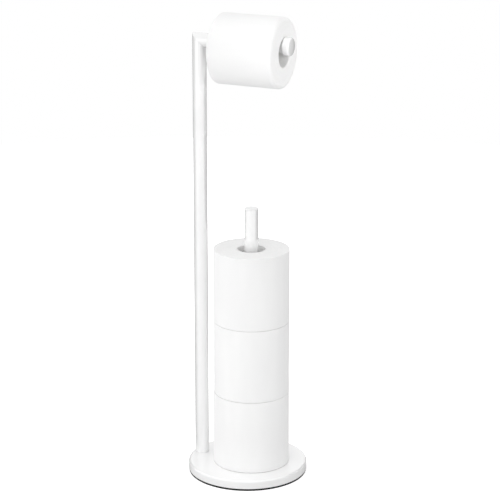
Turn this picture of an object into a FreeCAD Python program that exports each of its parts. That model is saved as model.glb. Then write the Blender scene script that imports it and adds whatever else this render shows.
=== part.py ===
"""Free-standing toilet roll holder with spare roll storage.

A weighted round base carries a tube post at its rim and a short spindle near its middle.
A tube arm is mitred to the top of the post and ends in a screwed-on knob.
One roll hangs on the arm, and three spare rolls are stacked over the spindle.

Frame, in millimetres: origin at the middle of the base's underside, +Z up, and +X from
the post along the arm.
"""
import FreeCAD, Part
import math
import os
import re
import Sketcher

document = FreeCAD.newDocument("toilet_roll_holder")

# Driving dimensions, all in millimetres

DRIVING_DIMENSIONS = {
    # base: die-cut pad, cast weight, pressed steel cover
    "base_diameter": 164,
    "pad_thickness": 3,
    "pad_inset": 0.5,
    "cover_height": 11.5,
    "cover_sheet": 1.5,
    "cover_bend": 1,
    "weight_gap": 0.4,
    "weight_draft": 0.5,
    "weight_chamfer": 1.5,
    # post, arm and spindle, all of one tube
    "tube_diameter": 19,
    "tube_wall": 1.2,
    "foot_margin": 0.3,
    "arm_axis_height": 602,
    "mitre_overcut": 2,
    "spindle_stick_out": 57,
    # threaded plugs in the tube ends
    "plug_fit": 0.05,
    "plug_length": 18,
    "plug_chamfer": 1,
    "tapped_depth": 13,
    "drill_tip": 1.8,
    "thread_fit": 0.05,
    # fixing screws, washers and the stud of the knob
    "screw_diameter": 6,
    "screw_length": 20,
    "screw_point": 0.8,
    "screw_head_diameter": 10.5,
    "screw_head_height": 3.3,
    "screw_head_rim": 0.5,
    "screw_head_flat": 6,
    "screw_head_dome": 5,
    "hex_key": 4,
    "hex_depth": 2,
    "head_recess": 0.4,
    "hole_clearance": 0.3,
    "washer_diameter": 12,
    "washer_thickness": 1.6,
    "lock_washer_diameter": 11,
    "lock_washer_thickness": 1.5,
    "lock_washer_slit": 1.2,
    "washer_bore_clearance": 0.2,
    "counterbore_clearance": 1,
    "stud_length": 16,
    "stud_end_gap": 0.6,
    # knob at the end of the arm and cap on the spindle
    "knob_diameter": 25,
    "knob_length": 9.5,
    "knob_crown": 0.8,
    "knob_round": 3,
    "knob_back_round": 0.6,
    "knob_tapped_depth": 5.5,
    "knob_drill_tip": 1,
    "cap_head": 2,
    "cap_round": 1.2,
    "cap_fit": 0.05,
    "cap_spigot": 10,
    "cap_spigot_chamfer": 0.8,
    # rolls: wound tissue on a cardboard core
    "core_bore": 38,
    "core_wall": 0.9,
    "core_setback": 0.5,
    "core_fit": 0.05,
    "paper_bore_round": 1.5,
    "arm_roll_diameter": 95,
    "arm_roll_width": 93,
    "arm_roll_edge_round": 3,
    "arm_roll_to_post": 20,
    "arm_roll_to_knob": 1,
    "hang_gap": 0.3,
    "spare_roll_diameter": 104,
    "spare_roll_width": 102,
    "spare_roll_edge_round": 0.8,
    "spare_roll_to_post": 14,
    "rest_gap": 0.3,
}
SPARE_ROLLS = ("bottom", "middle", "top")

sizes = document.addObject("Spreadsheet::Sheet", "Sizes")
for row, (alias, value) in enumerate(DRIVING_DIMENSIONS.items(), start=1):
    sizes.set(f"A{row}", alias)
    sizes.set(f"B{row}", str(value))
    sizes.setAlias(f"B{row}", alias)
document.recompute()

# Sizes and places that follow from the driving dimensions

BASE_TOP = "(pad_thickness + cover_height)"
COVER_EDGE_ROUND = "(cover_bend + cover_sheet)"
TUBE_RADIUS = "(tube_diameter / 2)"
TUBE_BORE = "(tube_diameter - 2 * tube_wall)"
POST_OFFSET = f"(base_diameter / 2 - {COVER_EDGE_ROUND} - foot_margin - {TUBE_RADIUS})"
POST_FACE_X = f"({TUBE_RADIUS} - {POST_OFFSET})"
SPINDLE_X = f"({POST_FACE_X} + spare_roll_to_post + spare_roll_diameter / 2)"
STACK_STEP = "(spare_roll_width + rest_gap)"
SPINDLE_TUBE_LENGTH = f"({len(SPARE_ROLLS)} * {STACK_STEP} + spindle_stick_out - cap_head)"
ARM_ROLL_X = f"({POST_FACE_X} + arm_roll_to_post)"
ARM_ROLL_Z = f"(arm_axis_height - core_bore / 2 + {TUBE_RADIUS} + hang_gap)"
ARM_END_X = f"({ARM_ROLL_X} + arm_roll_width + arm_roll_to_knob)"
TAP_RADIUS = "(screw_diameter / 2 + thread_fit)"
SCREW_HOLE = "(screw_diameter + 2 * hole_clearance)"
COUNTERBORE = "(washer_diameter + 2 * counterbore_clearance)"
WASHER_BORE = "(screw_diameter + 2 * washer_bore_clearance)"
HEAD_Z = "(pad_thickness + head_recess)"
LOCK_WASHER_Z = f"({HEAD_Z} + screw_head_height)"
WASHER_Z = f"({LOCK_WASHER_Z} + lock_washer_thickness)"
COUNTERBORE_DEPTH = f"({WASHER_Z} + washer_thickness - pad_thickness)"
SCREW_PLACES = {"post": f"-{POST_OFFSET}", "spindle": SPINDLE_X}
UPRIGHT = FreeCAD.Rotation()
ALONG_ARM = FreeCAD.Rotation(FreeCAD.Vector(0, 1, 0), 90)
BACK_ALONG_ARM = FreeCAD.Rotation(FreeCAD.Vector(0, 1, 0), -90)


def in_sheet(formula):
    """The formula as an expression, with each size named as a cell of the sheet."""
    return re.sub(r"\b[a-z]\w*", lambda size: f"Sizes.{size.group()}", formula)


def number(formula):
    return float(document.Sizes.evalExpression(in_sheet(formula)))


# Modelling steps that the pieces share

def new_body(label, x="0", z="0", turn=UPRIGHT):
    """An empty body, turned and then moved to x and z in the part's own frame."""
    body = document.addObject("PartDesign::Body", label)
    body.Label = label
    body.Placement = FreeCAD.Placement(FreeCAD.Vector(), turn)
    body.setExpression("Placement.Base.x", in_sheet(x))
    body.setExpression("Placement.Base.z", in_sheet(z))
    return body


def new_sketch(body, role, raised="0"):
    """A sketch on one of the body's own origin planes, or raised from it."""
    sketch = body.newObject("Sketcher::SketchObject", f"{body.Label}_sketch")
    plane = next(p for p in body.Origin.OriginFeatures if p.Role == role)
    sketch.AttachmentSupport = [(plane, "")]
    sketch.MapMode = "FlatFace"
    sketch.setExpression("AttachmentOffset.Base.z", in_sheet(raised))
    return sketch


def bind_point(sketch, edge, end, x, y):
    """Hold one end of an edge at x and y, measured from the sketch's origin."""
    axes = (("DistanceX", x, -2), ("DistanceY", y, -1))
    for distance, formula, zero_axis in axes:
        value = number(formula)
        if formula == "0":
            sketch.addConstraint(Sketcher.Constraint("PointOnObject", edge, end, zero_axis))
        elif value > 0:
            index = sketch.addConstraint(Sketcher.Constraint(distance, -1, 1, edge, end, value))
            sketch.setExpression(f"Constraints[{index}]", in_sheet(formula))
        else:
            index = sketch.addConstraint(Sketcher.Constraint(distance, edge, end, -1, 1, -value))
            sketch.setExpression(f"Constraints[{index}]", in_sheet(f"-({formula})"))


def draw_outline(sketch, corners):
    """A closed outline, drawn anticlockwise through corners of two formulas, x and y.

    A third formula is the radius of the arc that leads to that corner. The arc bulges
    outwards, or inwards where its radius is written with a minus sign.
    """
    places = [FreeCAD.Vector(number(c[0]), number(c[1]), 0) for c in corners]
    count = len(corners)
    ends = []
    for i in range(count):
        start, finish = places[i], places[(i + 1) % count]
        arc = corners[(i + 1) % count][2:]
        if not arc:
            sketch.addGeometry(Part.LineSegment(start, finish))
            ends.append((1, 2))
            continue
        inward = arc[0].startswith("-")
        radius = number(arc[0].lstrip("-"))
        if inward:
            start, finish = finish, start
        half = (finish - start) / 2
        to_centre = FreeCAD.Vector(-half.y, half.x, 0).normalize()
        centre = start + half + to_centre * math.sqrt(radius ** 2 - half.Length ** 2)
        angles = [math.atan2(p.y - centre.y, p.x - centre.x) for p in (start, finish)]
        circle = Part.Circle(centre, FreeCAD.Vector(0, 0, 1), radius)
        edge = sketch.addGeometry(Part.ArcOfCircle(circle, *angles))
        ends.append((2, 1) if inward else (1, 2))
        index = sketch.addConstraint(Sketcher.Constraint("Radius", edge, radius))
        sketch.setExpression(f"Constraints[{index}]", in_sheet(arc[0].lstrip("-")))
    for i in range(count):
        before = (i - 1) % count
        sketch.addConstraint(Sketcher.Constraint("Coincident", before, ends[before][1], i, ends[i][0]))
        bind_point(sketch, i, ends[i][0], *corners[i][:2])


def draw_circle(sketch, diameter, x="0"):
    """A circle of a bound diameter, with its centre on the sketch's X axis."""
    value = number(diameter)
    circle = Part.Circle(FreeCAD.Vector(number(x), 0, 0), FreeCAD.Vector(0, 0, 1), value / 2)
    edge = sketch.addGeometry(circle)
    index = sketch.addConstraint(Sketcher.Constraint("Diameter", edge, value))
    sketch.setExpression(f"Constraints[{index}]", in_sheet(diameter))
    bind_point(sketch, edge, 3, x, "0")


def turn_profile(body, corners, axis="V_Axis"):
    """A solid of revolution of an outline in the body's XZ plane."""
    sketch = new_sketch(body, "XZ_Plane")
    draw_outline(sketch, corners)
    revolution = body.newObject("PartDesign::Revolution", f"{body.Label}_turning")
    revolution.Profile = sketch
    revolution.ReferenceAxis = (sketch, [axis])
    revolution.Angle = 360
    sketch.Visibility = False


def pad(body, sketch, length):
    feature = body.newObject("PartDesign::Pad", f"{body.Label}_pad")
    feature.Profile = sketch
    feature.setExpression("Length", in_sheet(length))
    sketch.Visibility = False


def cut_through(body, sketch):
    """A pocket through the whole body, on both sides of its sketch."""
    feature = body.newObject("PartDesign::Pocket", f"{body.Label}_cut")
    feature.Profile = sketch
    feature.Type = "ThroughAll"
    feature.SideType = "Symmetric"
    sketch.Visibility = False


def cut_upwards(body, sketch, depth):
    """A pocket of a bound depth, from its sketch towards the body's +Z."""
    feature = body.newObject("PartDesign::Pocket", f"{body.Label}_recess")
    feature.Profile = sketch
    feature.Type = "Length"
    feature.Reversed = True
    feature.setExpression("Length", in_sheet(depth))
    sketch.Visibility = False


def drill_screw_holes(body, diameter):
    """Through holes for the screws that hold the post and the spindle."""
    sketch = new_sketch(body, "XY_Plane")
    for x in SCREW_PLACES.values():
        draw_circle(sketch, diameter, x)
    cut_through(body, sketch)


def join_as_group(label, members):
    """Identical pieces kept as separate solids of one named group."""
    group = document.addObject("Part::Compound", label)
    group.Label = label
    group.Links = members
    return group


# Base

def make_base_pad():
    """Anti-slip pad, die-cut from sheet, with holes for the key of the fixing screws."""
    body = new_body("base_pad")
    sketch = new_sketch(body, "XY_Plane")
    draw_circle(sketch, "base_diameter - 2 * pad_inset")
    for x in SCREW_PLACES.values():
        draw_circle(sketch, COUNTERBORE, x)
    pad(body, sketch, "pad_thickness")
    return body


def make_base_weight():
    """Cast ballast disc with drafted sides, counterbored for the screws and washers."""
    radius = "(base_diameter / 2 - cover_sheet - weight_gap)"
    height = "(cover_height - cover_sheet)"
    top_radius = f"({radius} - weight_draft)"
    body = new_body("base_weight", z="pad_thickness")
    turn_profile(body, [
        ("0", "0"),
        (radius, "0"),
        (top_radius, f"{height} - weight_chamfer"),
        (f"{top_radius} - weight_chamfer", height),
        ("0", height),
    ])
    counterbores = new_sketch(body, "XY_Plane")
    for x in SCREW_PLACES.values():
        draw_circle(counterbores, COUNTERBORE, x)
    cut_upwards(body, counterbores, COUNTERBORE_DEPTH)
    drill_screw_holes(body, SCREW_HOLE)
    return body


def make_base_cover():
    """Pressed steel cover: a flat top, a bend of even wall and a straight skirt."""
    radius = "(base_diameter / 2)"
    flat_radius = f"({radius} - {COVER_EDGE_ROUND})"
    bend_z = f"(cover_height - {COVER_EDGE_ROUND})"
    body = new_body("base_cover", z="pad_thickness")
    turn_profile(body, [
        (f"{radius} - cover_sheet", "0"),
        (radius, "0"),
        (radius, bend_z),
        (flat_radius, "cover_height", COVER_EDGE_ROUND),
        ("0", "cover_height"),
        ("0", "cover_height - cover_sheet"),
        (flat_radius, "cover_height - cover_sheet"),
        (f"{radius} - cover_sheet", bend_z, "-cover_bend"),
    ])
    drill_screw_holes(body, SCREW_HOLE)
    return body


# Tubes

def draw_tube_section(sketch):
    draw_circle(sketch, "tube_diameter")
    draw_circle(sketch, TUBE_BORE)


def make_post_tube():
    """Upright tube on the base, cut at 45 degrees to meet the arm."""
    reach = f"({TUBE_RADIUS} + mitre_overcut)"
    axis_z = f"(arm_axis_height - {BASE_TOP})"
    body = new_body("post_tube", f"-{POST_OFFSET}", BASE_TOP)
    section = new_sketch(body, "XY_Plane")
    draw_tube_section(section)
    pad(body, section, f"{axis_z} + {TUBE_RADIUS}")
    mitre = new_sketch(body, "XZ_Plane")
    draw_outline(mitre, [
        (f"-{reach}", f"{axis_z} + {reach}"),
        (reach, f"{axis_z} - {reach}"),
        (reach, f"{axis_z} + {reach}"),
    ])
    cut_through(body, mitre)
    return body


def make_arm_tube():
    """Level tube from the mitre to the knob."""
    reach = f"({TUBE_RADIUS} + mitre_overcut)"
    body = new_body("arm_tube", f"-{POST_OFFSET}", "arm_axis_height")
    section = new_sketch(body, "YZ_Plane", raised=f"-{TUBE_RADIUS}")
    draw_tube_section(section)
    pad(body, section, f"{TUBE_RADIUS} + {POST_OFFSET} + {ARM_END_X}")
    mitre = new_sketch(body, "XZ_Plane")
    draw_outline(mitre, [
        (f"-{reach}", reach),
        (f"-{reach}", f"-{reach}"),
        (reach, f"-{reach}"),
    ])
    cut_through(body, mitre)
    return body


def make_spindle_tube():
    """Short upright tube that the spare rolls go over."""
    body = new_body("spindle_tube", SPINDLE_X, BASE_TOP)
    section = new_sketch(body, "XY_Plane")
    draw_tube_section(section)
    pad(body, section, SPINDLE_TUBE_LENGTH)
    return body


# Threaded plugs, screws and washers

def make_plug(label, x, z, turn=UPRIGHT):
    """Turned plug fixed in a tube's end, flush with it, with a blind tapped hole."""
    radius = f"({TUBE_BORE} / 2 - plug_fit)"
    body = new_body(label, x, z, turn)
    turn_profile(body, [
        (TAP_RADIUS, "0"),
        (radius, "0"),
        (radius, "plug_length - plug_chamfer"),
        (f"{radius} - plug_chamfer", "plug_length"),
        ("0", "plug_length"),
        ("0", "tapped_depth + drill_tip"),
        (TAP_RADIUS, "tapped_depth"),
    ])
    return body


def make_screw(place, x):
    """Button-head screw, driven upwards with a hex key through the base."""
    shank = "(screw_diameter / 2)"
    head = "(screw_head_diameter / 2)"
    tip_z = "(screw_head_height + screw_length)"
    body = new_body(f"{place}_screw", x, HEAD_Z)
    turn_profile(body, [
        ("0", "0"),
        ("screw_head_flat / 2", "0"),
        (head, "screw_head_height - screw_head_rim", "screw_head_dome"),
        (head, "screw_head_height"),
        (shank, "screw_head_height"),
        (shank, f"{tip_z} - screw_point"),
        (f"{shank} - screw_point", tip_z),
        ("0", tip_z),
    ])
    side = "hex_key / 2"
    corner = f"hex_key / {2 * math.sqrt(3)}"
    socket = new_sketch(body, "XY_Plane")
    draw_outline(socket, [
        ("0", f"-2 * {corner}"),
        (side, f"-{corner}"),
        (side, corner),
        ("0", f"2 * {corner}"),
        (f"-{side}", corner),
        (f"-{side}", f"-{corner}"),
    ])
    cut_upwards(body, socket, "hex_depth")
    return body


def make_washer(label, x, z, diameter, thickness):
    body = new_body(label, x, z)
    sketch = new_sketch(body, "XY_Plane")
    draw_circle(sketch, diameter)
    draw_circle(sketch, WASHER_BORE)
    pad(body, sketch, thickness)
    return body


def make_lock_washer(place, x):
    """Split spring washer, flat as it is when tightened."""
    half_slit = "lock_washer_slit / 2"
    body = make_washer(f"{place}_lock_washer", x, LOCK_WASHER_Z,
                       "lock_washer_diameter", "lock_washer_thickness")
    slit = new_sketch(body, "XY_Plane")
    draw_outline(slit, [
        ("0", f"-{half_slit}"),
        ("lock_washer_diameter", f"-{half_slit}"),
        ("lock_washer_diameter", half_slit),
        ("0", half_slit),
    ])
    cut_through(body, slit)
    return body


def make_fasteners():
    places = SCREW_PLACES.items()
    return [
        join_as_group("fixing_screws", [make_screw(place, x) for place, x in places]),
        join_as_group("lock_washers", [make_lock_washer(place, x) for place, x in places]),
        join_as_group("flat_washers", [
            make_washer(f"{place}_washer", x, WASHER_Z, "washer_diameter", "washer_thickness")
            for place, x in places
        ]),
    ]


# Knob of the arm and cap of the spindle

def make_arm_knob():
    """Turned end knob, wider than the arm, with a crowned face and a tapped back."""
    radius = "(knob_diameter / 2)"
    face_radius = f"({radius} - knob_round)"
    crown_radius = f"(({face_radius} * {face_radius} + knob_crown * knob_crown) / (2 * knob_crown))"
    body = new_body("arm_knob", ARM_END_X, "arm_axis_height")
    turn_profile(body, [
        ("knob_length + knob_crown", "0"),
        ("knob_length", face_radius, crown_radius),
        ("knob_length - knob_round", radius, "knob_round"),
        ("knob_back_round", radius),
        ("0", f"{radius} - knob_back_round", "knob_back_round"),
        ("0", TAP_RADIUS),
        ("knob_tapped_depth", TAP_RADIUS),
        ("knob_tapped_depth + knob_drill_tip", "0"),
    ], axis="H_Axis")
    return body


def make_knob_stud():
    """Headless screw that holds the knob on the plug in the arm."""
    radius = "(screw_diameter / 2)"
    body = new_body("knob_stud", f"{ARM_END_X} + knob_tapped_depth - stud_end_gap - stud_length",
                    "arm_axis_height")
    turn_profile(body, [
        ("0", "0"),
        ("stud_length", "0"),
        ("stud_length", f"{radius} - screw_point"),
        ("stud_length - screw_point", radius),
        ("screw_point", radius),
        ("0", f"{radius} - screw_point"),
    ], axis="H_Axis")
    return body


def make_spindle_cap():
    """Push-in cap, flush with the tube, with a rounded rim."""
    spigot = f"({TUBE_BORE} / 2 - cap_fit)"
    body = new_body("spindle_cap", SPINDLE_X, f"{BASE_TOP} + {SPINDLE_TUBE_LENGTH}")
    turn_profile(body, [
        ("0", "-cap_spigot"),
        (f"{spigot} - cap_spigot_chamfer", "-cap_spigot"),
        (spigot, "cap_spigot_chamfer - cap_spigot"),
        (spigot, "0"),
        (TUBE_RADIUS, "0"),
        (TUBE_RADIUS, "cap_head - cap_round"),
        (f"{TUBE_RADIUS} - cap_round", "cap_head", "cap_round"),
        ("0", "cap_head"),
    ])
    return body


# Rolls

def make_roll(name, kind, x, z, turn=UPRIGHT):
    """Tissue wound on a cardboard core, with the soft rounded edges of a wound web."""
    outside = f"({kind}_diameter / 2)"
    width = f"{kind}_width"
    edge_round = f"{kind}_edge_round"
    core_diameter = "(core_bore + 2 * core_wall)"
    inside = f"({core_diameter} / 2 + core_fit)"
    paper = new_body(f"{name}_paper", x, z, turn)
    turn_profile(paper, [
        (f"{inside} + paper_bore_round", "0", "paper_bore_round"),
        (f"{outside} - {edge_round}", "0"),
        (outside, edge_round, edge_round),
        (outside, f"{width} - {edge_round}"),
        (f"{outside} - {edge_round}", width, edge_round),
        (f"{inside} + paper_bore_round", width),
        (inside, f"{width} - paper_bore_round", "paper_bore_round"),
        (inside, "paper_bore_round"),
    ])
    core = new_body(f"{name}_core", x, z, turn)
    section = new_sketch(core, "XY_Plane", raised="core_setback")
    draw_circle(section, core_diameter)
    draw_circle(section, "core_bore")
    pad(core, section, f"{width} - 2 * core_setback")
    return [paper, core]


def make_spare_rolls():
    """Upright rolls over the spindle, each resting on the one below."""
    pieces = []
    for level, name in enumerate(SPARE_ROLLS):
        z = f"{BASE_TOP} + rest_gap + {level} * {STACK_STEP}"
        pieces += make_roll(f"spare_roll_{name}", "spare_roll", SPINDLE_X, z)
    return pieces


# Assembly

pieces = [
    make_base_pad(),
    make_base_weight(),
    make_base_cover(),
    make_post_tube(),
    make_plug("post_foot_plug", f"-{POST_OFFSET}", BASE_TOP),
    make_arm_tube(),
    make_plug("arm_end_plug", ARM_END_X, "arm_axis_height", BACK_ALONG_ARM),
    make_knob_stud(),
    make_arm_knob(),
    make_spindle_tube(),
    make_plug("spindle_foot_plug", SPINDLE_X, BASE_TOP),
    make_spindle_cap(),
    *make_fasteners(),
    *make_roll("arm_roll", "arm_roll", ARM_ROLL_X, ARM_ROLL_Z, ALONG_ARM),
    *make_spare_rolls(),
]
document.recompute()

# Check every feature before any piece is written

for item in document.Objects:
    if "Invalid" in item.State or "Error" in item.State:
        raise RuntimeError(f"{item.Label} failed: {item.State}")
    if item.TypeId == "PartDesign::Pocket" and item.Shape.Volume >= item.BaseFeature.Shape.Volume:
        raise RuntimeError(f"{item.Label} cuts nothing")
for piece in pieces:
    if piece.Shape.isNull() or not piece.Shape.isValid():
        raise RuntimeError(f"{piece.Label} has no valid shape")

os.makedirs("parts", exist_ok=True)
for piece in pieces:
    piece.Shape.exportStep(f"parts/{piece.Label}.step")
    print(f"{piece.Label}: {len(piece.Shape.Solids)} solids, {piece.Shape.Volume:.0f} mm3")
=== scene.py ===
"""Looks of a free-standing toilet roll holder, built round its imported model, in metres."""
import math

import bmesh
import bpy
from mathutils import Matrix, Vector, noise


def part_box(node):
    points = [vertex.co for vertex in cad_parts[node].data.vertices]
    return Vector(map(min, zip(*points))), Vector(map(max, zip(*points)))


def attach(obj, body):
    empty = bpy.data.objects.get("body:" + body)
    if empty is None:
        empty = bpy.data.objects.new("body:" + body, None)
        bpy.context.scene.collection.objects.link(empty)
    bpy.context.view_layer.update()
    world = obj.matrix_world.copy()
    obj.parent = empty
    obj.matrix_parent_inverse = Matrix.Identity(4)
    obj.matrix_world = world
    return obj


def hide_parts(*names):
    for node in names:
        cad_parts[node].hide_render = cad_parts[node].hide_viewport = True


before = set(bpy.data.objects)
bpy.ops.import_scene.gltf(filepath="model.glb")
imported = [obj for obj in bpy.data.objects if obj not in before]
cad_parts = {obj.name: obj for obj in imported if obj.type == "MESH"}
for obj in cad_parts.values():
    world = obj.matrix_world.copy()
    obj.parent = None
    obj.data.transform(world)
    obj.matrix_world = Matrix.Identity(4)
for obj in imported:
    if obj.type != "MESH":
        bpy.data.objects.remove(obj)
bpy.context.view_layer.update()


# Base weight
# A disc of grey iron, cast in sand and left rough, hidden under the cover.
# It shows only inside the two holes in the pad, as dark granular metal.

IRON_LOW = (0.05, 0.05, 0.053)
IRON_HIGH = (0.1, 0.1, 0.1)


def feed(tree, socket, value):
    """A socket takes a plain value, or a link from another socket."""
    if isinstance(value, bpy.types.NodeSocket):
        tree.links.new(value, socket)
    else:
        socket.default_value = value


def add_node(tree, kind, inputs, **settings):
    """A shader node with its settings, and with its inputs by name or number."""
    node = tree.nodes.new(kind)
    for setting, value in settings.items():
        setattr(node, setting, value)
    for name, value in inputs.items():
        feed(tree, node.inputs[name], value)
    return node


def new_group(name, inputs, outputs):
    """An empty shader node group with float and vector sockets, its inputs and its outputs."""
    group = bpy.data.node_groups.new(name, "ShaderNodeTree")
    for direction, sockets in (("INPUT", inputs), ("OUTPUT", outputs)):
        for socket, kind in sockets.items():
            group.interface.new_socket(socket, in_out=direction, socket_type=f"NodeSocket{kind}")
    return group, group.nodes.new("NodeGroupInput"), group.nodes.new("NodeGroupOutput")


def new_material(name):
    """A material, its tree, the shader that it ends in and its object coordinates."""
    material = bpy.data.materials.new(name)
    material.use_nodes = True
    tree = material.node_tree
    place = tree.nodes.new("ShaderNodeTexCoord").outputs["Object"]
    return material, tree, tree.nodes["Principled BSDF"], place


def set_shader(tree, shader, **inputs):
    """Values or sockets for the shader, with its input names in lower case and underlined."""
    for name, value in inputs.items():
        feed(tree, shader.inputs[name.replace("_", " ").title().replace("Ior", "IOR")], value)


def remap(tree, value, start=0.0, stop=1.0, low=0.0, high=1.0, ease="LINEAR"):
    """A value's way from start to stop, as a value from low to high."""
    inputs = {"Value": value, "From Min": start, "From Max": stop, "To Min": low, "To Max": high}
    return add_node(tree, "ShaderNodeMapRange", inputs, interpolation_type=ease).outputs["Result"]


def add_mix(tree, share, first, second, data_type="RGBA", **settings):
    """Two colours or values mixed by a share, from all of the first to all of the second."""
    inputs = {"Factor": share, "A": first, "B": second}
    return add_node(tree, "ShaderNodeMix", inputs, data_type=data_type, **settings).outputs["Result"]


def add_bump(tree, height, strength, depth):
    """The normals of a surface with this height on it."""
    inputs = {"Height": height, "Strength": strength, "Distance": depth}
    return add_node(tree, "ShaderNodeBump", inputs).outputs["Normal"]


def make_mottle():
    """A fine soft grain for the height of a surface, and a broad cloud for its tone."""
    group, given, result = new_group(
        "surface_mottle",
        {"Place": "Vector", "Grain": "Float", "Cloud": "Float"},
        {"Height": "Float", "Tone": "Float"},
    )
    grain = add_node(group, "ShaderNodeTexNoise",
                     {"Vector": given.outputs["Place"], "Scale": given.outputs["Grain"], "Detail": 3.0})
    cloud = add_node(group, "ShaderNodeTexNoise",
                     {"Vector": given.outputs["Place"], "Scale": given.outputs["Cloud"], "Detail": 2.0})
    group.links.new(grain.outputs["Fac"], result.inputs["Height"])
    group.links.new(cloud.outputs["Fac"], result.inputs["Tone"])
    return group


surface_mottle = make_mottle()


def add_mottle(tree, place, grain, cloud):
    """The mottle at a place, with the scales of its grain and its cloud."""
    return add_node(tree, "ShaderNodeGroup", {"Place": place, "Grain": grain, "Cloud": cloud},
                    node_tree=surface_mottle).outputs


def two_tones(tree, tone, low, high):
    """A colour that drifts between two greys or tints with a cloud, whose middle range it uses."""
    drift = remap(tree, tone, start=0.35, stop=0.65)
    return add_mix(tree, drift, (*low, 1.0), (*high, 1.0))


def make_cast_iron():
    material, tree, shader, place = new_material("cast_iron")
    mottle = add_mottle(tree, place, grain=900.0, cloud=60.0)
    set_shader(tree, shader, base_color=two_tones(tree, mottle["Tone"], IRON_LOW, IRON_HIGH),
               metallic=0.6, roughness=0.7,
               normal=add_bump(tree, mottle["Height"], strength=0.6, depth=0.0006))
    return material


def dress_node(node, material):
    """The CAD solid of this node shows with a finish of its own."""
    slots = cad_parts[node].data.materials
    slots.clear()
    slots.append(material)


dress_node("base_weight", make_cast_iron())


# Base cover
# Pressed from sheet steel: a flat round top, a bend of even wall and a straight skirt.
# Powder coated in satin white, with the faint orange peel that such a coat has.

COAT_LOW = (0.885, 0.885, 0.886)
COAT_HIGH = (0.91, 0.91, 0.91)
COVER_SHEET = 0.0015
COVER_BEND = 0.0025
COVER_STEPS = 192
# One more ring of faces in the flat top, at this share of its radius.
COVER_RING = 0.5
# Arcs are drawn in steps of some degrees, and in no fewer steps than these.
ARC_STEP = 10
FEWEST_ARC_STEPS = 4
# Points closer than this are one point, and edges sharper than this stay sharp.
SAME_POINT = 1e-7
SHARP_ANGLE = math.radians(40)


def trace(start, *moves):
    """A wire outline in the XZ plane: a move is a corner, or a centre and an angle to turn about it."""
    outline = bmesh.new()
    tip = outline.verts.new((start[0], 0.0, start[1]))
    for x, z, *turn in moves:
        if turn:
            steps = max(FEWEST_ARC_STEPS, math.ceil(abs(turn[0]) / ARC_STEP))
            swept = bmesh.ops.spin(outline, geom=[tip], cent=(x, 0, z), axis=(0, -1, 0),
                                   angle=math.radians(turn[0]), steps=steps)
            tip = next(item for item in swept["geom_last"] if isinstance(item, bmesh.types.BMVert))
        else:
            drawn = bmesh.ops.extrude_vert_indiv(outline, verts=[tip])
            tip = drawn["verts"][0]
            tip.co = (x, 0.0, z)
    bmesh.ops.remove_doubles(outline, verts=outline.verts[:], dist=SAME_POINT)
    return outline


def revolve(outline, steps):
    """The outline turned once round the Z axis into a closed skin."""
    bmesh.ops.spin(outline, geom=outline.verts[:] + outline.edges[:], cent=(0, 0, 0), axis=(0, 0, 1),
                   angle=math.tau, steps=steps, use_merge=True)
    bmesh.ops.remove_doubles(outline, verts=outline.verts[:], dist=SAME_POINT)
    bmesh.ops.recalc_face_normals(outline, faces=outline.faces[:])
    return outline


def new_object(name, shape, material):
    """An object in the scene from a bmesh, in one material."""
    mesh = bpy.data.meshes.new(name)
    shape.to_mesh(mesh)
    shape.free()
    mesh.materials.append(material)
    made = bpy.data.objects.new(name, mesh)
    bpy.context.scene.collection.objects.link(made)
    return made


def add_piece(name, shape, material, body, node):
    """A finished piece from a bmesh, on its body, standing for its CAD node."""
    piece = new_object(name, shape, material)
    piece.data.shade_smooth()
    piece.data.set_sharp_from_angle(angle=SHARP_ANGLE)
    shading = piece.modifiers.new("even_shading", "WEIGHTED_NORMAL")
    shading.keep_sharp = True
    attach(piece, body)
    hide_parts(node)


def make_white_coat(name, gloss_blur, under_gloss, gloss):
    """Powder coat: how much its clear surface blurs reflections, the gloss below it and its index."""
    material, tree, shader, place = new_material(name)
    mottle = add_mottle(tree, place, grain=650.0, cloud=14.0)
    set_shader(tree, shader, base_color=two_tones(tree, mottle["Tone"], COAT_LOW, COAT_HIGH),
               roughness=remap(tree, mottle["Tone"], low=0.2, high=0.28),
               normal=add_bump(tree, mottle["Height"], strength=0.12, depth=0.0002),
               specular_ior_level=under_gloss, coat_weight=1.0, coat_roughness=gloss_blur, coat_ior=gloss)
    return material


cover_coat = make_white_coat("white_cover_coat", gloss_blur=0.14, under_gloss=0.6, gloss=1.6)
cover_low, cover_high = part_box("base_cover")
cover_radius = cover_high.x
cover = revolve(trace(
    (cover_radius - COVER_SHEET, cover_low.z),
    (cover_radius, cover_low.z),
    (cover_radius, cover_high.z - COVER_BEND),
    (cover_radius - COVER_BEND, cover_high.z - COVER_BEND, 90),
    (COVER_RING * cover_radius, cover_high.z),
    (0.0, cover_high.z),
    (0.0, cover_high.z - COVER_SHEET),
    (cover_radius - COVER_BEND, cover_high.z - COVER_SHEET),
    (cover_radius - COVER_BEND, cover_high.z - COVER_BEND, -90),
    (cover_radius - COVER_SHEET, cover_low.z),
), COVER_STEPS)
add_piece("base_cover_shell", cover, cover_coat, "stand", "base_cover")


# Anti-slip pad
# Die-cut from black closed-cell foam rubber and stuck under the weight, a little inside the cover.
# Two holes let a key reach the fixing screws, and the cut edge is slightly rounded.

FOAM_LOW = (0.012, 0.012, 0.012)
FOAM_HIGH = (0.024, 0.024, 0.025)
PAD_EDGE = 0.0004
PAD_STEPS = 192
KEY_HOLE_RADIUS = 0.007
KEY_HOLE_STEPS = 48


def middle_x(node):
    """Where the upright axis of a round node stands along the arm."""
    low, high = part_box(node)
    return (low.x + high.x) / 2


def sharp_edges(shape):
    return [edge for edge in shape.edges if edge.calc_face_angle(0.0) > SHARP_ANGLE]


def round_edges(shape, edges, size):
    """Edges of a shape taken off and rounded, by a small size."""
    bmesh.ops.bevel(shape, geom=edges, offset=size, affect="EDGES", segments=3, profile=0.5, material=-1)


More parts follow.
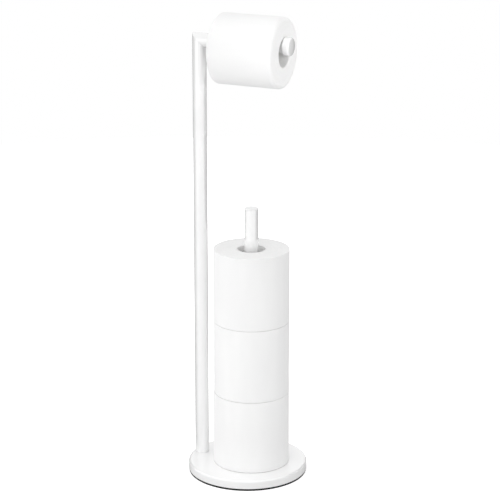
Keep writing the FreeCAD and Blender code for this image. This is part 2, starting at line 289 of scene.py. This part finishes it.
def make_foam_rubber():
    material, tree, shader, place = new_material("foam_rubber")
    mottle = add_mottle(tree, place, grain=1400.0, cloud=90.0)
    set_shader(tree, shader, base_color=two_tones(tree, mottle["Tone"], FOAM_LOW, FOAM_HIGH),
               roughness=0.85, specular_ior_level=0.3,
               normal=add_bump(tree, mottle["Height"], strength=0.5, depth=0.0003))
    return material


pad_low, pad_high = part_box("base_pad")
post_x = middle_x("post_foot_plug")
spindle_x = middle_x("spindle_tube")
pad = bmesh.new()
bmesh.ops.create_circle(pad, segments=PAD_STEPS, radius=pad_high.x)
for hole_x in (post_x, spindle_x):
    bmesh.ops.create_circle(pad, segments=KEY_HOLE_STEPS, radius=KEY_HOLE_RADIUS,
                            matrix=Matrix.Translation((hole_x, 0.0, 0.0)))
bmesh.ops.triangle_fill(pad, edges=pad.edges[:], use_beauty=True)
raised = bmesh.ops.extrude_face_region(pad, geom=pad.faces[:])
raised_points = [item for item in raised["geom"] if isinstance(item, bmesh.types.BMVert)]
bmesh.ops.translate(pad, verts=raised_points, vec=(0.0, 0.0, pad_high.z - pad_low.z))
bmesh.ops.recalc_face_normals(pad, faces=pad.faces[:])
round_edges(pad, sharp_edges(pad), PAD_EDGE)
add_piece("anti_slip_pad", pad, make_foam_rubber(), "stand", "base_pad")


# Post and arm
# Two lengths of one steel tube, cut at 45 degrees, welded into a square corner and ground flush.
# They have the cover's white coat in a clearer gloss, and only a fine line shows at the mitre.

TUBE_WALL = 0.0012
TUBE_STEPS = 96
CUT_EDGE = 0.0003


def slice_shape(shape, place, normal, clear_outer):
    """A cut through a shape along a plane, which may take away what lies beyond it."""
    bmesh.ops.bisect_plane(shape, geom=shape.verts[:] + shape.edges[:] + shape.faces[:],
                           dist=SAME_POINT, plane_co=place, plane_no=normal, clear_outer=clear_outer)


def cut_tube(length, radius, mitred):
    """A tube along +Z from the origin, square at the foot and square or at 45 degrees at the top."""
    tube = bmesh.new()
    bore = radius - TUBE_WALL
    reach = length + (radius if mitred else 0.0)
    wall = {"segments": TUBE_STEPS, "depth": reach, "matrix": Matrix.Translation((0.0, 0.0, reach / 2))}
    bmesh.ops.create_cone(tube, radius1=bore, radius2=bore, **wall)
    bmesh.ops.reverse_faces(tube, faces=tube.faces[:])
    bmesh.ops.create_cone(tube, radius1=radius, radius2=radius, **wall)
    if mitred:
        slice_shape(tube, (0.0, 0.0, length), (1.0, 0.0, 1.0), clear_outer=True)
    open_edges = [edge for edge in tube.edges if edge.is_boundary]
    for at_top in (False, True):
        ring = [edge for edge in open_edges if (edge.verts[0].co.z > length / 2) == at_top]
        bmesh.ops.bridge_loops(tube, edges=ring)
    bmesh.ops.recalc_face_normals(tube, faces=tube.faces[:])
    rims = [edge for edge in sharp_edges(tube)
            if all(math.hypot(*vert.co.xy) > radius - TUBE_WALL / 2 for vert in edge.verts)]
    round_edges(tube, rims, CUT_EDGE)
    return tube


tube_coat = make_white_coat("white_tube_coat", gloss_blur=0.04, under_gloss=0.4, gloss=2.3)
post_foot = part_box("post_tube")[0].z
arm_low, arm_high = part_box("arm_tube")
tube_radius = (arm_high.y - arm_low.y) / 2
corner_height = (arm_low.z + arm_high.z) / 2
post = cut_tube(corner_height - post_foot, tube_radius, mitred=True)
post.transform(Matrix.Translation((post_x, 0.0, post_foot)))
add_piece("post", post, tube_coat, "stand", "post_tube")
arm = cut_tube(arm_high.x - post_x, tube_radius, mitred=True)
laid_over = Matrix.Rotation(math.pi, 4, Vector((1, 0, -1)))
arm.transform(Matrix.Translation((arm_high.x, 0.0, corner_height)) @ laid_over)
add_piece("arm", arm, tube_coat, "stand", "arm_tube")


# Plugs, screws and washers
# Turned and cold-formed steel, zinc plated, hidden inside the tubes and under the weight.
# The screw heads show from below, in the holes of the pad.

ZINC_LOW = (0.52, 0.53, 0.54)
ZINC_HIGH = (0.66, 0.66, 0.65)


def make_plated_steel():
    material, tree, shader, place = new_material("plated_steel")
    mottle = add_mottle(tree, place, grain=1800.0, cloud=220.0)
    set_shader(tree, shader, base_color=two_tones(tree, mottle["Tone"], ZINC_LOW, ZINC_HIGH),
               metallic=1.0, roughness=remap(tree, mottle["Tone"], low=0.22, high=0.42),
               normal=add_bump(tree, mottle["Height"], strength=0.1, depth=0.0001))
    return material


plated_steel = make_plated_steel()
for node in ("post_foot_plug", "spindle_foot_plug", "arm_end_plug", "knob_stud",
             "fixing_screws", "lock_washers", "flat_washers"):
    dress_node(node, plated_steel)


# End knob
# Turned from steel bar and coated with the frame: a flat back, a rounded rim and a crowned face.
# A stud screws it to the end of the arm, where it keeps the roll from sliding off.

KNOB_ROUND = 0.003
KNOB_CROWN = 0.0008
KNOB_BACK_EDGE = 0.0005
KNOB_STEPS = 96

knob_low, knob_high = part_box("arm_knob")
knob_radius = (knob_high.y - knob_low.y) / 2
knob_length = knob_high.x - knob_low.x
rim = knob_length - KNOB_CROWN
flat = knob_radius - KNOB_ROUND
crown_radius = (flat ** 2 + KNOB_CROWN ** 2) / (2 * KNOB_CROWN)
knob = revolve(trace(
    (0.0, 0.0),
    (knob_radius - KNOB_BACK_EDGE, 0.0),
    (knob_radius - KNOB_BACK_EDGE, KNOB_BACK_EDGE, 90),
    (knob_radius, rim - KNOB_ROUND),
    (flat, rim - KNOB_ROUND, 90),
    (0.0, knob_length - crown_radius, math.degrees(math.asin(flat / crown_radius))),
), KNOB_STEPS)
knob.transform(Matrix.Translation((knob_low.x, 0.0, corner_height)) @ Matrix.Rotation(math.pi / 2, 4, "Y"))
add_piece("end_knob", knob, tube_coat, "stand", "arm_knob")


# Spindle and its cap
# A short upright length of the same tube, coated white, for the spare rolls.
# A moulded plastic cap with a rounded rim is pushed into its open end.

CAP_LOW = (0.86, 0.86, 0.86)
CAP_HIGH = (0.89, 0.89, 0.89)
CAP_ROUND = 0.0012
CAP_SEAT_EDGE = 0.00025
CAP_RING = 0.4
CAP_STEPS = 96


def make_white_plastic():
    material, tree, shader, place = new_material("white_plastic")
    mottle = add_mottle(tree, place, grain=1500.0, cloud=40.0)
    set_shader(tree, shader, base_color=two_tones(tree, mottle["Tone"], CAP_LOW, CAP_HIGH),
               roughness=0.32, normal=add_bump(tree, mottle["Height"], strength=0.08, depth=0.0001))
    return material


spindle_low, spindle_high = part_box("spindle_tube")
spindle = cut_tube(spindle_high.z - spindle_low.z, tube_radius, mitred=False)
spindle.transform(Matrix.Translation((spindle_x, 0.0, spindle_low.z)))
add_piece("spindle", spindle, tube_coat, "stand", "spindle_tube")

cap_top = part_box("spindle_cap")[1].z
cap_seat = spindle_high.z
cap = revolve(trace(
    (0.0, cap_seat),
    (tube_radius - CAP_SEAT_EDGE, cap_seat),
    (tube_radius - CAP_SEAT_EDGE, cap_seat + CAP_SEAT_EDGE, 90),
    (tube_radius, cap_top - CAP_ROUND),
    (tube_radius - CAP_ROUND, cap_top - CAP_ROUND, 90),
    (CAP_RING * tube_radius, cap_top),
    (0.0, cap_top),
), CAP_STEPS)
cap.transform(Matrix.Translation((spindle_x, 0.0, 0.0)))
add_piece("spindle_end_cap", cap, make_white_plastic(), "stand", "spindle_cap")


# Roll cores
# Tubes of pale board, wound as a spiral strip whose seam runs round the bore.
# Cut square at the ends, a little inside the paper, with soft bruised rims.

BOARD_LOW = (0.87, 0.867, 0.86)
BOARD_HIGH = (0.91, 0.908, 0.904)
CORE_WALL = 0.0009
CORE_RIM = 0.00025
CORE_STEPS = 96
# The strip climbs this far in a turn. Its seam is a share of it wide and keeps a share of its tone.
CORE_STRIP = 0.062
SEAM_WIDTH = 0.012
SEAM_SHADE = 0.55
FIBRE_RELIEF = 0.25
# How each roll lies, and how far it is turned about its own axis.
UPRIGHT = Matrix.Identity(4)
ALONG_ARM = Matrix.Rotation(math.pi / 2, 4, "Y")
ROLLS = {
    "arm_roll": (ALONG_ARM, math.radians(70)),
    "spare_roll_bottom": (UPRIGHT, math.radians(205)),
    "spare_roll_middle": (UPRIGHT, math.radians(95)),
    "spare_roll_top": (UPRIGHT, math.radians(150)),
}


def read_attribute(tree, name, output):
    return add_node(tree, "ShaderNodeAttribute", {}, attribute_name=name).outputs[output]


def add_math(tree, operation, *values):
    return add_node(tree, "ShaderNodeMath", dict(enumerate(values)), operation=operation).outputs[0]


def from_half(tree, value):
    """How far a value lies from the middle between two whole numbers."""
    return add_math(tree, "ABSOLUTE", add_math(tree, "SUBTRACT", add_math(tree, "FRACT", value), 0.5))


def make_winding():
    """Where a point of a roll lies: its part of a turn, its distance from the axis and along it."""
    group, given, result = new_group(
        "roll_winding", {"Place": "Vector"}, {"Turn": "Float", "Radius": "Float", "Along": "Float"})
    axes = add_node(group, "ShaderNodeSeparateXYZ", {"Vector": given.outputs["Place"]}).outputs
    angle = add_math(group, "ARCTAN2", axes["Y"], axes["X"])
    turn = add_math(group, "DIVIDE", angle, math.tau)
    squares = add_math(group, "ADD", add_math(group, "MULTIPLY", axes["X"], axes["X"]),
                       add_math(group, "MULTIPLY", axes["Y"], axes["Y"]))
    group.links.new(turn, result.inputs["Turn"])
    group.links.new(add_math(group, "SQRT", squares), result.inputs["Radius"])
    group.links.new(axes["Z"], result.inputs["Along"])
    return group


roll_winding = make_winding()


def add_winding(tree):
    """A point's place on the unplaced roll, and where it lies in the winding."""
    place = read_attribute(tree, "roll_place", "Vector")
    return place, add_node(tree, "ShaderNodeGroup", {"Place": place}, node_tree=roll_winding).outputs


def make_core_board():
    material, tree, shader, _ = new_material("core_board")
    place, winding = add_winding(tree)
    fibres = add_mottle(tree, place, grain=1100.0, cloud=260.0)
    climb = add_math(tree, "DIVIDE", winding["Along"], CORE_STRIP)
    seam = from_half(tree, add_math(tree, "ADD", winding["Turn"], climb))
    level = remap(tree, seam, stop=SEAM_WIDTH)
    height = add_math(tree, "MULTIPLY_ADD", fibres["Height"], FIBRE_RELIEF, level)
    board = two_tones(tree, fibres["Tone"], BOARD_LOW, BOARD_HIGH)
    shade = remap(tree, level, low=SEAM_SHADE)
    set_shader(tree, shader, base_color=add_mix(tree, 1.0, board, shade, blend_type="MULTIPLY"),
               roughness=0.9, specular_ior_level=0.2,
               normal=add_bump(tree, height, strength=0.6, depth=0.0003))
    return material


def mark_place(shape):
    """Keeps each point's place on the unplaced roll, for the patterns that follow the winding."""
    layer = shape.verts.layers.float_vector.new("roll_place")
    for vert in shape.verts:
        vert[layer] = vert.co


def wind_core(width, radius):
    """A core along +Z from the origin."""
    bore = radius - CORE_WALL
    core = revolve(trace(
        (bore, CORE_RIM),
        (bore, width - CORE_RIM),
        (bore + CORE_RIM, width - CORE_RIM, -90),
        (radius - CORE_RIM, width),
        (radius - CORE_RIM, width - CORE_RIM, -90),
        (radius, CORE_RIM),
        (radius - CORE_RIM, CORE_RIM, -90),
        (bore + CORE_RIM, 0.0),
        (bore + CORE_RIM, CORE_RIM, -90),
    ), CORE_STEPS)
    mark_place(core)
    return core


def measure(node, lie):
    """Length, radius and foot of a round node: the middle of its lower or inner end."""
    low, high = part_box(node)
    middle = (low + high) / 2
    if lie is ALONG_ARM:
        return high.x - low.x, (high.y - low.y) / 2, Vector((low.x, middle.y, middle.z))
    return high.z - low.z, (high.x - low.x) / 2, Vector((middle.x, middle.y, low.z))


core_board = make_core_board()
for body, (lie, turn) in ROLLS.items():
    width, radius, foot = measure(f"{body}_core", lie)
    core = wind_core(width, radius)
    core.transform(Matrix.Translation(foot) @ lie @ Matrix.Rotation(turn, 4, "Z"))
    add_piece(f"{body}_board_core", core, core_board, body, f"{body}_core")


# Tissue
# One long two-ply sheet, wound loosely on the core, so the roll is soft and not quite true, with finely
# layered ends and its free end at the back. Handling has rounded the edges of the roll in use.

PLY_LOW = (0.875, 0.875, 0.875)
PLY_HIGH = (0.9, 0.9, 0.898)
LAYER_GAPS_PAINTED_SHADE = (0.86, 0.86, 0.858)
LAYERS_HIGH = (0.91, 0.91, 0.908)
ROLL_STEPS = 160
WALL_ROWS = 24
BORE_EDGE = 0.0015
USED_EDGE = 0.005
SPARE_EDGE = 0.0004
# The layered look of an end is whole within the first share of the edge's round, and gone beyond the other.
END_WHOLE = 0.2
END_GONE = 0.6
# Some layers of an end are sunk by up to a step, and the noise that sinks them drifts round the roll.
LAYER = 0.0012
LAYER_STEP = 0.00022
LAYER_DRIFT = 0.8
ROWS_PER_LAYER = 1.5
# The soft wall is a little out of true, more inwards than outwards, in waves round and along it.
SOFTNESS = 0.0003
SOFT_SINK = 0.5
SOFT_ROUND = 1.6
SOFT_ALONG = 30
SEED_STEP = 7.3
# The free end stands off by its lift, unevenly along its edge, and lies down over its length.
# Cuts on both sides of that edge keep the step crisp.
TAIL_LIFT = 0.0007
TAIL_LENGTH = 0.05
TAIL_CUTS = (-0.0012, -0.0006, -0.00018, 0.00018, 0.00072, 0.00144)
TAIL_WAVE = 0.35
TAIL_WAVES_ALONG = 45
TAIL_WAVE_LEVEL = 3.0
# The paper's surface: crepe lines round the roll, pressed dots, and tear lines with uncut bridges.
CREPE_STRETCH = 0.18
CREPE_RELIEF = 0.6
PATTERN_RADIUS = 0.051
DOTS_PER_TURN = 72.0
DOT_RELIEF = 0.35
SHEETS_PER_TURN = 3.0
CUTS_PER_METRE = 420.0
CUT_SHARE = 0.6
TEAR_RELIEF = 0.5
# The ends' fine rings, and how fast they change along the radius and across the end. Their darker rings are
# painted shade between the layers.
RING_SCALE = 3600.0
RING_DRIFT = 60.0
RING_RELIEF = 1.6


def wind_paper(width, radius, bore, edge, seed):
    """A wound roll along +Z from the origin, with its free end at +X."""
    outline = trace(
        (bore, BORE_EDGE),
        (bore, width - BORE_EDGE),
        (bore + BORE_EDGE, width - BORE_EDGE, -90),
        (radius - edge, width),
        (radius - edge, width - edge, -90),
        (radius, edge),
        (radius - edge, edge, -90),
        (bore + BORE_EDGE, 0.0),
        (bore + BORE_EDGE, BORE_EDGE, -90),
    )
    ends = [side for side in outline.edges
            if abs(side.verts[0].co.x - side.verts[1].co.x) > (radius - bore) / 2]
    bmesh.ops.subdivide_edges(outline, edges=ends, cuts=round((radius - bore) / LAYER * ROWS_PER_LAYER))
    wall = [side for side in outline.edges
            if side.calc_length() > width / 2 and side.verts[0].co.x > bore + LAYER]
    bmesh.ops.subdivide_edges(outline, edges=wall, cuts=WALL_ROWS)
    roll = revolve(outline, ROLL_STEPS)
    for cut in TAIL_CUTS:
        angle = cut / radius
        slice_shape(roll, (0.0, 0.0, 0.0), (-math.sin(angle), math.cos(angle), 0.0), clear_outer=False)
    end_mask = roll.verts.layers.float.new("roll_end")
    for vert in roll.verts:
        x, y, z = vert.co
        reach = math.hypot(x, y)
        outward = Vector((x / reach, y / reach, 0.0))
        from_end = min(z, width - z)
        end = (END_GONE * edge - from_end) / ((END_GONE - END_WHOLE) * edge)
        end = min(1.0, max(0.0, end))
        vert[end_mask] = end
        if reach > bore + BORE_EDGE / 2:
            layers = noise.noise(Vector((
                (reach - bore) / LAYER, LAYER_DRIFT * outward.x + seed, LAYER_DRIFT * outward.y)))
            out_of_end = 1.0 if z > width / 2 else -1.0
            vert.co.z += out_of_end * end * LAYER_STEP * min(0.0, layers)
        if reach > radius - edge:
            soft = noise.noise(Vector((
                SOFT_ROUND * outward.x + seed, SOFT_ROUND * outward.y, SOFT_ALONG * z)))
            from_tail = (math.atan2(y, x) % math.tau) * radius
            lift = 0.0
            if 0.0 < from_tail < TAIL_LENGTH:
                uneven = noise.noise(Vector((TAIL_WAVES_ALONG * z, seed, TAIL_WAVE_LEVEL)))
                lift = TAIL_LIFT * (1.0 + TAIL_WAVE * uneven) * (1.0 - from_tail / TAIL_LENGTH) ** 2
            vert.co += outward * (SOFTNESS * (soft - SOFT_SINK) + lift)
    bmesh.ops.recalc_face_normals(roll, faces=roll.faces[:])
    mark_place(roll)
    return roll


def add_vector(tree, x, y, z=0.0):
    return add_node(tree, "ShaderNodeCombineXYZ", {"X": x, "Y": y, "Z": z}).outputs["Vector"]


def make_tissue():
    material, tree, shader, _ = new_material("tissue")
    place, winding = add_winding(tree)
    axes = add_node(tree, "ShaderNodeSeparateXYZ", {"Vector": place}).outputs

    stretched = add_math(tree, "MULTIPLY", axes["Z"], CREPE_STRETCH)
    crepe = add_mottle(tree, add_vector(tree, axes["X"], axes["Y"], stretched), grain=1500.0, cloud=35.0)

    dots_per_metre = DOTS_PER_TURN / (math.tau * PATTERN_RADIUS)
    across = add_math(tree, "MULTIPLY", winding["Turn"], DOTS_PER_TURN)
    along = add_math(tree, "MULTIPLY", winding["Along"], dots_per_metre)
    dot_place = add_vector(tree, add_math(tree, "ADD", across, along),
                           add_math(tree, "SUBTRACT", across, along))
    dots = add_node(tree, "ShaderNodeTexVoronoi", {"Vector": dot_place, "Scale": 1.0, "Randomness": 0.0},
                    voronoi_dimensions="2D").outputs["Distance"]
    emboss = remap(tree, dots, start=0.12, stop=0.34, ease="SMOOTHSTEP")

    sheets = add_math(tree, "MULTIPLY_ADD", winding["Turn"], SHEETS_PER_TURN, 0.5)
    tear_line = remap(tree, from_half(tree, sheets), start=0.002, stop=0.004)
    dash = add_math(tree, "FRACT", add_math(tree, "MULTIPLY", winding["Along"], CUTS_PER_METRE))
    uncut = add_math(tree, "MAXIMUM", tear_line, add_math(tree, "GREATER_THAN", dash, CUT_SHARE))

    torn = add_math(tree, "MULTIPLY", uncut, TEAR_RELIEF)
    pressed = add_math(tree, "MULTIPLY_ADD", emboss, DOT_RELIEF, torn)
    skin = add_math(tree, "MULTIPLY_ADD", crepe["Height"], CREPE_RELIEF, pressed)

    rings_place = add_vector(tree, add_math(tree, "MULTIPLY", winding["Radius"], RING_SCALE),
                             add_math(tree, "MULTIPLY", axes["X"], RING_DRIFT),
                             add_math(tree, "MULTIPLY", axes["Y"], RING_DRIFT))
    rings = add_node(tree, "ShaderNodeTexNoise",
                     {"Vector": rings_place, "Scale": 1.0, "Detail": 2.0}).outputs["Fac"]

    end = read_attribute(tree, "roll_end", "Fac")
    height = add_mix(tree, end, skin, add_math(tree, "MULTIPLY", rings, RING_RELIEF), data_type="FLOAT")
    ply_tone = two_tones(tree, crepe["Tone"], PLY_LOW, PLY_HIGH)
    # The end's rings are toned down to painted shade where the gaps between layers lie.
    layers_tone_with_painted_shade = two_tones(tree, rings, LAYER_GAPS_PAINTED_SHADE, LAYERS_HIGH)
    set_shader(tree, shader, base_color=add_mix(tree, end, ply_tone, layers_tone_with_painted_shade),
               roughness=0.95, specular_ior_level=0.15,
               normal=add_bump(tree, height, strength=0.35, depth=0.0004))
    return material


tissue = make_tissue()
for number, (body, (lie, turn)) in enumerate(ROLLS.items()):
    width, radius, foot = measure(f"{body}_paper", lie)
    bore = measure(f"{body}_core", lie)[1]
    edge = USED_EDGE if lie is ALONG_ARM else SPARE_EDGE
    paper = wind_paper(width, radius, bore, edge, SEED_STEP * number)
    paper.transform(Matrix.Translation(foot) @ lie @ Matrix.Rotation(turn, 4, "Z"))
    add_piece(f"{body}_tissue", paper, tissue, body, f"{body}_paper")


# Floor, light and camera
# A pale floor runs into a white ground, under soft lamps in front, at the left, behind and above, and
# narrow ones for the base and the end of the roll in use. Dark boards draw the bands on the tubes.

# The photographed view: from a little to the right of the arm's broad side, and above it.
CAMERA_AZIMUTH = math.radians(23.5)
CAMERA_ELEVATION = 16.6
CAMERA_DISTANCE = 2.711
CAMERA_LENS = 144.0
AIM_ACROSS = 0.0033
AIM_HEIGHT = 0.3183
FLOOR_RADIUS = 2.0
FLOOR_STEPS = 96
# The floor's colour is darker close to the holder, a painted shade that dims its bounce onto the base and
# its reflection in the base's wall, and it glows to white further out.
FLOOR_PAINTED_SHADE = 0.6
FLOOR_HIGH = 0.75
SHADE_NEAR = 0.09
SHADE_FAR = 0.3
FLOOR_GLOW = 0.65
MIRRORED_GLOW = 0.5
GLOW_NEAR = 0.1
GLOW_FAR = 1.8
WORLD_FILL = 0.87
LAMP_AIM = Vector((0.0, 0.0, 0.3))
FLAG_BLACK = (0.03, 0.03, 0.03)
FLAG_HEIGHT = 0.62


def from_camera_side(turn, elevation, distance, height=0.0):
    """A place seen from the object: turned from the camera's azimuth and raised, in degrees."""
    azimuth = CAMERA_AZIMUTH + math.radians(turn)
    rise = math.radians(elevation)
    back = Vector((math.sin(azimuth) * math.cos(rise), -math.cos(azimuth) * math.cos(rise), math.sin(rise)))
    return Vector((0.0, 0.0, height)) + back * distance


def make_floor():
    material, tree, shader, place = new_material("pale_floor")
    light = tree.nodes.new("ShaderNodeLightPath").outputs
    mirrored = add_math(tree, "MAXIMUM", light["Is Glossy Ray"], light["Is Transmission Ray"])
    away = add_node(tree, "ShaderNodeVectorMath", {0: place}, operation="LENGTH").outputs["Value"]
    glow = remap(tree, away, start=GLOW_NEAR, stop=GLOW_FAR, low=FLOOR_GLOW)
    sheen = remap(tree, away, start=GLOW_NEAR, stop=GLOW_FAR, high=MIRRORED_GLOW)
    strength = add_math(tree, "ADD", add_math(tree, "MULTIPLY", light["Is Camera Ray"], glow),
                        add_math(tree, "MULTIPLY", mirrored, sheen))
    # Painted shade: the floor's colour darkens close to the holder.
    paleness_with_painted_shade = remap(tree, away, start=SHADE_NEAR, stop=SHADE_FAR, low=FLOOR_PAINTED_SHADE, high=FLOOR_HIGH)
    set_shader(tree, shader, base_color=paleness_with_painted_shade, roughness=1.0, specular_ior_level=0.0,
               emission_color=(1.0, 1.0, 1.0, 1.0), emission_strength=strength)
    disc = bmesh.new()
    bmesh.ops.create_circle(disc, cap_ends=True, segments=FLOOR_STEPS, radius=FLOOR_RADIUS)
    floor = new_object("floor", disc, material)


def make_world():
    """White where the camera or a reflection sees it, and a plain fill light elsewhere."""
    world = bpy.data.worlds.new("white_ground")
    bpy.context.scene.world = world
    world.use_nodes = True
    tree = world.node_tree
    light = tree.nodes.new("ShaderNodeLightPath").outputs
    seen = add_math(tree, "MAXIMUM", light["Is Camera Ray"],
                    add_math(tree, "MAXIMUM", light["Is Glossy Ray"], light["Is Transmission Ray"]))
    background = tree.nodes["Background"]
    background.inputs["Color"].default_value = (1.0, 1.0, 1.0, 1.0)
    feed(tree, background.inputs["Strength"], remap(tree, seen, low=WORLD_FILL))


def add_lamp(name, place, aim, size, power, spread=180):
    """A soft box at a place, turned to its aim, with a grid that narrows its spread in degrees."""
    lamp = bpy.data.lights.new(name, "AREA")
    lamp.spread = math.radians(spread)
    lamp.shape = "RECTANGLE"
    lamp.size, lamp.size_y = size
    lamp.energy = power
    holder = bpy.data.objects.new(name, lamp)
    holder.location = place
    holder.rotation_euler = (Vector(aim) - place).to_track_quat("-Z", "Y").to_euler()
    bpy.context.scene.collection.objects.link(holder)


def make_flag_black():
    material, tree, shader, _ = new_material("flag_black")
    set_shader(tree, shader, base_color=(*FLAG_BLACK, 1.0), roughness=1.0)
    return material


def add_flag(name, material, side, front, back):
    """A dark upright board beside the object, outside the view, which only reflections see."""
    board = bmesh.new()
    bmesh.ops.create_grid(board, x_segments=1, y_segments=1, size=0.5)
    bmesh.ops.scale(board, verts=board.verts[:], vec=(front + back, FLAG_HEIGHT, 1.0))
    stood_up = Matrix.Rotation(math.pi / 2, 4, "Z") @ Matrix.Rotation(math.pi / 2, 4, "X")
    beside = Matrix.Translation((side, (back - front) / 2, FLAG_HEIGHT / 2))
    board.transform(Matrix.Rotation(CAMERA_AZIMUTH, 4, "Z") @ beside @ stood_up)
    flag = new_object(name, board, material)
    flag.visible_camera = False
    flag.visible_diffuse = False
    flag.visible_transmission = False
    flag.visible_shadow = False


make_floor()
make_world()
add_lamp("key_lamp", from_camera_side(turn=-40, elevation=8, distance=2.6, height=LAMP_AIM.z),
         aim=LAMP_AIM, size=(1.4, 1.4), power=5.1)
add_lamp("front_lamp", from_camera_side(turn=5, elevation=8, distance=3.0, height=LAMP_AIM.z),
         aim=LAMP_AIM, size=(1.6, 1.6), power=5.6)
add_lamp("left_lamp", from_camera_side(turn=-80, elevation=10, distance=2.4, height=LAMP_AIM.z),
         aim=LAMP_AIM, size=(1.4, 1.8), power=5.6)
add_lamp("back_lamp", from_camera_side(turn=-130, elevation=25, distance=2.4, height=LAMP_AIM.z),
         aim=LAMP_AIM, size=(1.2, 1.6), power=4.0)
add_lamp("top_lamp", Vector((0.0, 0.0, 4.0)), aim=(0.0, 0.0, 0.0), size=(2.4, 2.4), power=9.5)
add_lamp("roll_end_lamp", from_camera_side(turn=25, elevation=12, distance=1.0, height=0.6),
         aim=(0.07, 0.0, 0.585), size=(0.12, 0.12), power=0.029, spread=20)
add_lamp("base_lamp", from_camera_side(turn=-15, elevation=50, distance=1.2),
         aim=(0.01, -0.05, 0.0), size=(0.4, 0.3), power=0.1, spread=40)

flag_black = make_flag_black()
add_flag("left_flag", flag_black, side=-0.13, front=-0.005, back=0.8)
add_flag("right_flag", flag_black, side=0.3, front=0.12, back=0.8)

camera_data = bpy.data.cameras.new("camera")
camera_data.lens = CAMERA_LENS
camera_data.sensor_width = 36.0
camera = bpy.data.objects.new("camera", camera_data)
across = Vector((math.cos(CAMERA_AZIMUTH), math.sin(CAMERA_AZIMUTH), 0.0))
aim = across * AIM_ACROSS + Vector((0.0, 0.0, AIM_HEIGHT))
camera.location = aim + from_camera_side(turn=0, elevation=CAMERA_ELEVATION, distance=CAMERA_DISTANCE)
camera.rotation_euler = (aim - camera.location).to_track_quat("-Z", "Y").to_euler()
bpy.context.scene.collection.objects.link(camera)
bpy.context.scene.camera = camera
bpy.context.scene.view_settings.view_transform = "Standard"
